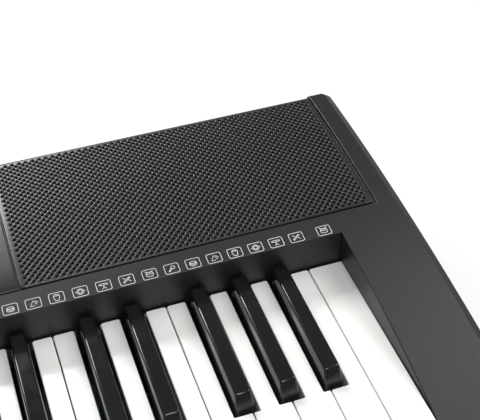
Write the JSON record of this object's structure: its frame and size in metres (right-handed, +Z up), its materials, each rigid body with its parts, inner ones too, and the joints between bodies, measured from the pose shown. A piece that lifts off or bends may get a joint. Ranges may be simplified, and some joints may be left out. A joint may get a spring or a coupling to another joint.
{
  "type": "portable keyboard",
  "caption": "Portable electronic keyboard with full-size sprung keys, arched charcoal case, perforated speaker grilles and a raised control panel.",
  "frame": {"origin": "middle of the footprint, on the table under the rubber feet", "axes": "+X to the right of the player, +Y to the rear, +Z up"},
  "size_m": [0.956, 0.29, 0.1],
  "materials": {
    "case_plastic": "fine-grained moulded charcoal",
    "base_plastic": "grained moulded charcoal",
    "panel_plastic": "satin moulded charcoal",
    "grille_plastic": "satin moulded charcoal, perforated",
    "speaker_driver": "black paper cone and pressed basket",
    "display_window": "clear smoked lens",
    "display_module": "dark display block",
    "silicone": "moulded silicone rubber",
    "circuit_board": "green solder resist",
    "felt": "pressed wool felt",
    "frame_steel": "zinc-plated sheet",
    "foot_rubber": "moulded rubber",
    "socket_plastic": "moulded black",
    "key_white": "polished white",
    "key_black": "semi-gloss black"
  },
  "bodies": {
    "case": {"black_key_felt": "felt", "contact_board": "circuit_board", "contact_strip": "silicone", "control_panel": "panel_plastic", "display_module": "display_module", "display_window": "display_window", "foot_front_left": "foot_rubber", "foot_front_right": "foot_rubber", "foot_rear_left": "foot_rubber", "foot_rear_right": "foot_rubber", "headphone_jack": "socket_plastic", "jack_board": "circuit_board", "key_frame": "frame_steel", "lower_case": "base_plastic", "main_board": "circuit_board", "power_jack": "socket_plastic", "speaker_grille_left": "grille_plastic", "speaker_grille_right": "grille_plastic", "speaker_left": "speaker_driver", "speaker_right": "speaker_driver", "upper_case": "case_plastic", "white_key_felt": "felt"},
    "battery_door": {"battery_door": "base_plastic"},
    "key_a_5": {"key_a_5": "key_white"},
    "key_a_sharp_5": {"key_a_sharp_5": "key_black"},
    "key_b_5": {"key_b_5": "key_white"},
    "key_c_5": {"key_c_5": "key_white"},
    "key_c_6": {"key_c_6": "key_white"},
    "key_c_sharp_5": {"key_c_sharp_5": "key_black"},
    "key_d_5": {"key_d_5": "key_white"},
    "key_d_sharp_5": {"key_d_sharp_5": "key_black"},
    "key_e_5": {"key_e_5": "key_white"},
    "key_f_5": {"key_f_5": "key_white"},
    "key_f_sharp_5": {"key_f_sharp_5": "key_black"},
    "key_g_5": {"key_g_5": "key_white"},
    "key_g_sharp_5": {"key_g_sharp_5": "key_black"},
    "keys_1_black": {"keys_1_black": "key_black"},
    "keys_1_c_e_g_b": {"keys_1_c_e_g_b": "key_white"},
    "keys_1_d_f_a": {"keys_1_d_f_a": "key_white"},
    "keys_2_black": {"keys_2_black": "key_black"},
    "keys_2_c_e_g_b": {"keys_2_c_e_g_b": "key_white"},
    "keys_2_d_f_a": {"keys_2_d_f_a": "key_white"},
    "keys_3_black": {"keys_3_black": "key_black"},
    "keys_3_c_e_g_b": {"keys_3_c_e_g_b": "key_white"},
    "keys_3_d_f_a": {"keys_3_d_f_a": "key_white"},
    "keys_4_black": {"keys_4_black": "key_black"},
    "keys_4_c_e_g_b": {"keys_4_c_e_g_b": "key_white"},
    "keys_4_d_f_a": {"keys_4_d_f_a": "key_white"},
    "number_pad": {"number_pad": "silicone"},
    "play_button": {"play_button": "silicone"},
    "power_button": {"power_button": "silicone"},
    "record_button": {"record_button": "silicone"},
    "rhythm_button": {"rhythm_button": "silicone"},
    "start_stop_button": {"start_stop_button": "silicone"},
    "tempo_down_button": {"tempo_down_button": "silicone"},
    "tempo_up_button": {"tempo_up_button": "silicone"},
    "tone_button": {"tone_button": "silicone"},
    "volume_knob": {"volume_knob": "case_plastic"}
  },
  "joints": [
    {"name": "battery_door_open", "type": "hinge", "parent": "case", "child": "battery_door", "pos_m": [0, 0.0611, 0.006], "axis": [-1, 0, 0], "range_deg": [0, 75]},
    {"name": "key_a_5_press", "type": "hinge", "parent": "case", "child": "key_a_5", "pos_m": [0, 0.0343, 0.048], "axis": [1, 0, 0], "range_deg": [0, 3.43], "stiffness_Nm_per_rad": 0.6, "springref_deg": -10.31},
    {"name": "key_a_sharp_5_press", "type": "hinge", "parent": "case", "child": "key_a_sharp_5", "pos_m": [0, 0.0343, 0.048], "axis": [1, 0, 0], "range_deg": [0, 4.53], "stiffness_Nm_per_rad": 0.42, "springref_deg": -10.31},
    {"name": "key_b_5_press", "type": "hinge", "parent": "case", "child": "key_b_5", "pos_m": [0, 0.0343, 0.048], "axis": [1, 0, 0], "range_deg": [0, 3.43], "stiffness_Nm_per_rad": 0.6, "springref_deg": -10.31},
    {"name": "key_c_5_press", "type": "hinge", "parent": "case", "child": "key_c_5", "pos_m": [0, 0.0343, 0.048], "axis": [1, 0, 0], "range_deg": [0, 3.43], "stiffness_Nm_per_rad": 0.6, "springref_deg": -10.31},
    {"name": "key_c_6_press", "type": "hinge", "parent": "case", "child": "key_c_6", "pos_m": [0, 0.0343, 0.048], "axis": [1, 0, 0], "range_deg": [0, 3.43], "stiffness_Nm_per_rad": 0.6, "springref_deg": -10.31},
    {"name": "key_c_sharp_5_press", "type": "hinge", "parent": "case", "child": "key_c_sharp_5", "pos_m": [0, 0.0343, 0.048], "axis": [1, 0, 0], "range_deg": [0, 4.53], "stiffness_Nm_per_rad": 0.42, "springref_deg": -10.31},
    {"name": "key_d_5_press", "type": "hinge", "parent": "case", "child": "key_d_5", "pos_m": [0, 0.0343, 0.048], "axis": [1, 0, 0], "range_deg": [0, 3.43], "stiffness_Nm_per_rad": 0.6, "springref_deg": -10.31},
    {"name": "key_d_sharp_5_press", "type": "hinge", "parent": "case", "child": "key_d_sharp_5", "pos_m": [0, 0.0343, 0.048], "axis": [1, 0, 0], "range_deg": [0, 4.53], "stiffness_Nm_per_rad": 0.42, "springref_deg": -10.31},
    {"name": "key_e_5_press", "type": "hinge", "parent": "case", "child": "key_e_5", "pos_m": [0, 0.0343, 0.048], "axis": [1, 0, 0], "range_deg": [0, 3.43], "stiffness_Nm_per_rad": 0.6, "springref_deg": -10.31},
    {"name": "key_f_5_press", "type": "hinge", "parent": "case", "child": "key_f_5", "pos_m": [0, 0.0343, 0.048], "axis": [1, 0, 0], "range_deg": [0, 3.43], "stiffness_Nm_per_rad": 0.6, "springref_deg": -10.31},
    {"name": "key_f_sharp_5_press", "type": "hinge", "parent": "case", "child": "key_f_sharp_5", "pos_m": [0, 0.0343, 0.048], "axis": [1, 0, 0], "range_deg": [0, 4.53], "stiffness_Nm_per_rad": 0.42, "springref_deg": -10.31},
    {"name": "key_g_5_press", "type": "hinge", "parent": "case", "child": "key_g_5", "pos_m": [0, 0.0343, 0.048], "axis": [1, 0, 0], "range_deg": [0, 3.43], "stiffness_Nm_per_rad": 0.6, "springref_deg": -10.31},
    {"name": "key_g_sharp_5_press", "type": "hinge", "parent": "case", "child": "key_g_sharp_5", "pos_m": [0, 0.0343, 0.048], "axis": [1, 0, 0], "range_deg": [0, 4.53], "stiffness_Nm_per_rad": 0.42, "springref_deg": -10.31},
    {"name": "keys_1_black_press", "type": "hinge", "parent": "case", "child": "keys_1_black", "pos_m": [0, 0.0343, 0.048], "axis": [1, 0, 0], "range_deg": [0, 4.53], "stiffness_Nm_per_rad": 2.1, "springref_deg": -10.31},
    {"name": "keys_1_c_e_g_b_press", "type": "hinge", "parent": "case", "child": "keys_1_c_e_g_b", "pos_m": [0, 0.0343, 0.048], "axis": [1, 0, 0], "range_deg": [0, 3.43], "stiffness_Nm_per_rad": 2.4, "springref_deg": -10.31},
    {"name": "keys_1_d_f_a_press", "type": "hinge", "parent": "case", "child": "keys_1_d_f_a", "pos_m": [0, 0.0343, 0.048], "axis": [1, 0, 0], "range_deg": [0, 3.43], "stiffness_Nm_per_rad": 1.8, "springref_deg": -10.31},
    {"name": "keys_2_black_press", "type": "hinge", "parent": "case", "child": "keys_2_black", "pos_m": [0, 0.0343, 0.048], "axis": [1, 0, 0], "range_deg": [0, 4.53], "stiffness_Nm_per_rad": 2.1, "springref_deg": -10.31},
    {"name": "keys_2_c_e_g_b_press", "type": "hinge", "parent": "case", "child": "keys_2_c_e_g_b", "pos_m": [0, 0.0343, 0.048], "axis": [1, 0, 0], "range_deg": [0, 3.43], "stiffness_Nm_per_rad": 2.4, "springref_deg": -10.31},
    {"name": "keys_2_d_f_a_press", "type": "hinge", "parent": "case", "child": "keys_2_d_f_a", "pos_m": [0, 0.0343, 0.048], "axis": [1, 0, 0], "range_deg": [0, 3.43], "stiffness_Nm_per_rad": 1.8, "springref_deg": -10.31},
    {"name": "keys_3_black_press", "type": "hinge", "parent": "case", "child": "keys_3_black", "pos_m": [0, 0.0343, 0.048], "axis": [1, 0, 0], "range_deg": [0, 4.53], "stiffness_Nm_per_rad": 2.1, "springref_deg": -10.31},
    {"name": "keys_3_c_e_g_b_press", "type": "hinge", "parent": "case", "child": "keys_3_c_e_g_b", "pos_m": [0, 0.0343, 0.048], "axis": [1, 0, 0], "range_deg": [0, 3.43], "stiffness_Nm_per_rad": 2.4, "springref_deg": -10.31},
    {"name": "keys_3_d_f_a_press", "type": "hinge", "parent": "case", "child": "keys_3_d_f_a", "pos_m": [0, 0.0343, 0.048], "axis": [1, 0, 0], "range_deg": [0, 3.43], "stiffness_Nm_per_rad": 1.8, "springref_deg": -10.31},
    {"name": "keys_4_black_press", "type": "hinge", "parent": "case", "child": "keys_4_black", "pos_m": [0, 0.0343, 0.048], "axis": [1, 0, 0], "range_deg": [0, 4.53], "stiffness_Nm_per_rad": 2.1, "springref_deg": -10.31},
    {"name": "keys_4_c_e_g_b_press", "type": "hinge", "parent": "case", "child": "keys_4_c_e_g_b", "pos_m": [0, 0.0343, 0.048], "axis": [1, 0, 0], "range_deg": [0, 3.43], "stiffness_Nm_per_rad": 2.4, "springref_deg": -10.31},
    {"name": "keys_4_d_f_a_press", "type": "hinge", "parent": "case", "child": "keys_4_d_f_a", "pos_m": [0, 0.0343, 0.048], "axis": [1, 0, 0], "range_deg": [0, 3.43], "stiffness_Nm_per_rad": 1.8, "springref_deg": -10.31},
    {"name": "number_pad_press", "type": "slide", "parent": "case", "child": "number_pad", "axis": [0, 0, -1], "range_m": [0, 0.0012], "stiffness_N_per_m": 1500, "springref_m": -0.001},
    {"name": "play_button_press", "type": "slide", "parent": "case", "child": "play_button", "axis": [0, 0, -1], "range_m": [0, 0.0012], "stiffness_N_per_m": 400, "springref_m": -0.001},
    {"name": "power_button_press", "type": "slide", "parent": "case", "child": "power_button", "axis": [0, 0, -1], "range_m": [0, 0.0012], "stiffness_N_per_m": 400, "springref_m": -0.001},
    {"name": "record_button_press", "type": "slide", "parent": "case", "child": "record_button", "axis": [0, 0, -1], "range_m": [0, 0.0012], "stiffness_N_per_m": 400, "springref_m": -0.001},
    {"name": "rhythm_button_press", "type": "slide", "parent": "case", "child": "rhythm_button", "axis": [0, 0, -1], "range_m": [0, 0.0012], "stiffness_N_per_m": 400, "springref_m": -0.001},
    {"name": "start_stop_button_press", "type": "slide", "parent": "case", "child": "start_stop_button", "axis": [0, 0, -1], "range_m": [0, 0.0012], "stiffness_N_per_m": 400, "springref_m": -0.001},
    {"name": "tempo_down_button_press", "type": "slide", "parent": "case", "child": "tempo_down_button", "axis": [0, 0, -1], "range_m": [0, 0.0012], "stiffness_N_per_m": 400, "springref_m": -0.001},
    {"name": "tempo_up_button_press", "type": "slide", "parent": "case", "child": "tempo_up_button", "axis": [0, 0, -1], "range_m": [0, 0.0012], "stiffness_N_per_m": 400, "springref_m": -0.001},
    {"name": "tone_button_press", "type": "slide", "parent": "case", "child": "tone_button", "axis": [0, 0, -1], "range_m": [0, 0.0012], "stiffness_N_per_m": 400, "springref_m": -0.001},
    {"name": "volume_turn", "type": "hinge", "parent": "case", "child": "volume_knob", "pos_m": [-0.177, 0.0976, 0.09], "axis": [0, 0, 1], "range_deg": [-150, 150]}
  ]
}
